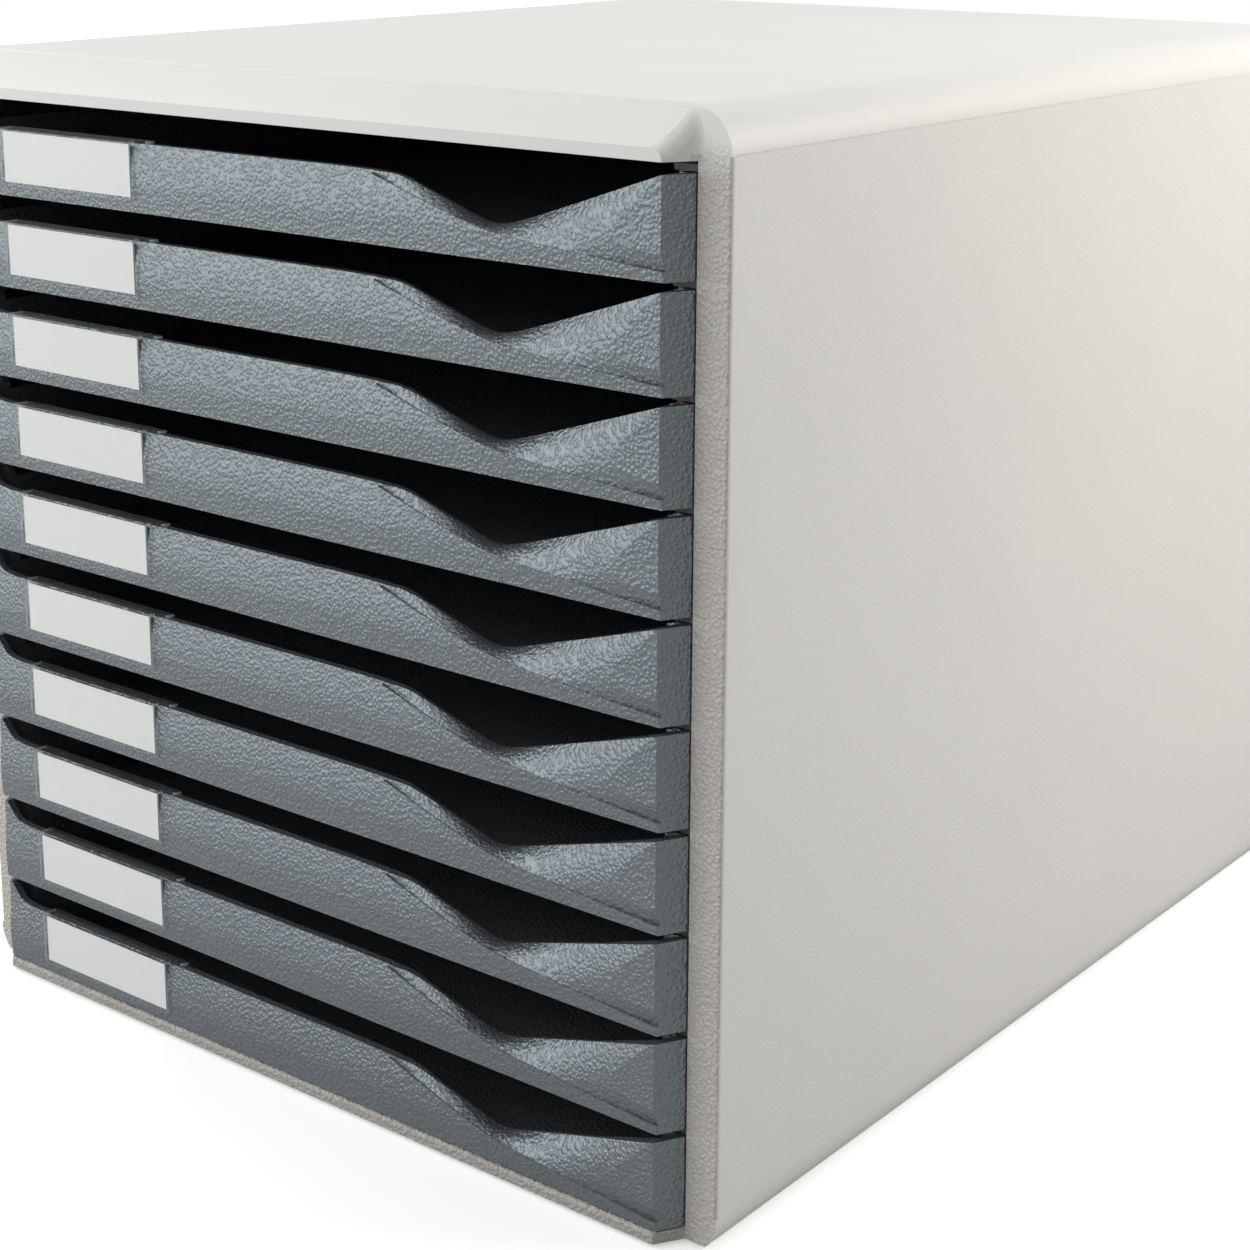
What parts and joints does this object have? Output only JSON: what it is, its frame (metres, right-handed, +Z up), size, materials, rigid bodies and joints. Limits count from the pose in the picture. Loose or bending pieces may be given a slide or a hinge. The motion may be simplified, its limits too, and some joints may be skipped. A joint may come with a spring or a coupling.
{
  "type": "desktop drawer cabinet",
  "caption": "Desktop paper cabinet: a moulded housing with a stack of shallow sliding drawers, scooped drawer fronts and clear card holders.",
  "frame": {"origin": "middle of the footprint, on the surface the feet stand on", "axes": "+X to the right seen from the front, the drawers open towards -Y, +Z up"},
  "size_m": [0.285, 0.353, 0.29],
  "materials": {
    "housing": "fine grained",
    "drawers": "leather grained",
    "runners": "plain",
    "feet": "plain",
    "holders": "clear",
    "cards": "blank white card"
  },
  "bodies": {
    "housing": {"top_cover": "housing", "left_side_panel": "housing", "right_side_panel": "housing", "base_plate": "housing", "back_panel": "housing", "left_runner_frame": "runners", "right_runner_frame": "runners", "foot_front_left": "feet", "foot_front_right": "feet", "foot_rear_left": "feet", "foot_rear_right": "feet"},
    "drawer_01": {"drawer_01": "drawers", "label_holder_01": "holders", "label_card_01": "cards"},
    "drawer_02": {"drawer_02": "drawers", "label_holder_02": "holders", "label_card_02": "cards"},
    "drawer_03": {"drawer_03": "drawers", "label_holder_03": "holders", "label_card_03": "cards"},
    "drawer_04": {"drawer_04": "drawers", "label_holder_04": "holders", "label_card_04": "cards"},
    "drawer_05": {"drawer_05": "drawers", "label_holder_05": "holders", "label_card_05": "cards"},
    "drawer_06": {"drawer_06": "drawers", "label_holder_06": "holders", "label_card_06": "cards"},
    "drawer_07": {"drawer_07": "drawers", "label_holder_07": "holders", "label_card_07": "cards"},
    "drawer_08": {"drawer_08": "drawers", "label_holder_08": "holders", "label_card_08": "cards"},
    "drawer_09": {"drawer_09": "drawers", "label_holder_09": "holders", "label_card_09": "cards"},
    "drawer_10": {"drawer_10": "drawers", "label_holder_10": "holders", "label_card_10": "cards"}
  },
  "joints": [
    {"name": "drawer_slide_01", "type": "slide", "parent": "housing", "child": "drawer_01", "axis": [0, -1, 0], "range_m": [0, 0.27]},
    {"name": "drawer_slide_02", "type": "slide", "parent": "housing", "child": "drawer_02", "axis": [0, -1, 0], "range_m": [0, 0.27]},
    {"name": "drawer_slide_03", "type": "slide", "parent": "housing", "child": "drawer_03", "axis": [0, -1, 0], "range_m": [0, 0.27]},
    {"name": "drawer_slide_04", "type": "slide", "parent": "housing", "child": "drawer_04", "axis": [0, -1, 0], "range_m": [0, 0.27]},
    {"name": "drawer_slide_05", "type": "slide", "parent": "housing", "child": "drawer_05", "axis": [0, -1, 0], "range_m": [0, 0.27]},
    {"name": "drawer_slide_06", "type": "slide", "parent": "housing", "child": "drawer_06", "axis": [0, -1, 0], "range_m": [0, 0.27]},
    {"name": "drawer_slide_07", "type": "slide", "parent": "housing", "child": "drawer_07", "axis": [0, -1, 0], "range_m": [0, 0.27]},
    {"name": "drawer_slide_08", "type": "slide", "parent": "housing", "child": "drawer_08", "axis": [0, -1, 0], "range_m": [0, 0.27]},
    {"name": "drawer_slide_09", "type": "slide", "parent": "housing", "child": "drawer_09", "axis": [0, -1, 0], "range_m": [0, 0.27]},
    {"name": "drawer_slide_10", "type": "slide", "parent": "housing", "child": "drawer_10", "axis": [0, -1, 0], "range_m": [0, 0.27]}
  ]
}
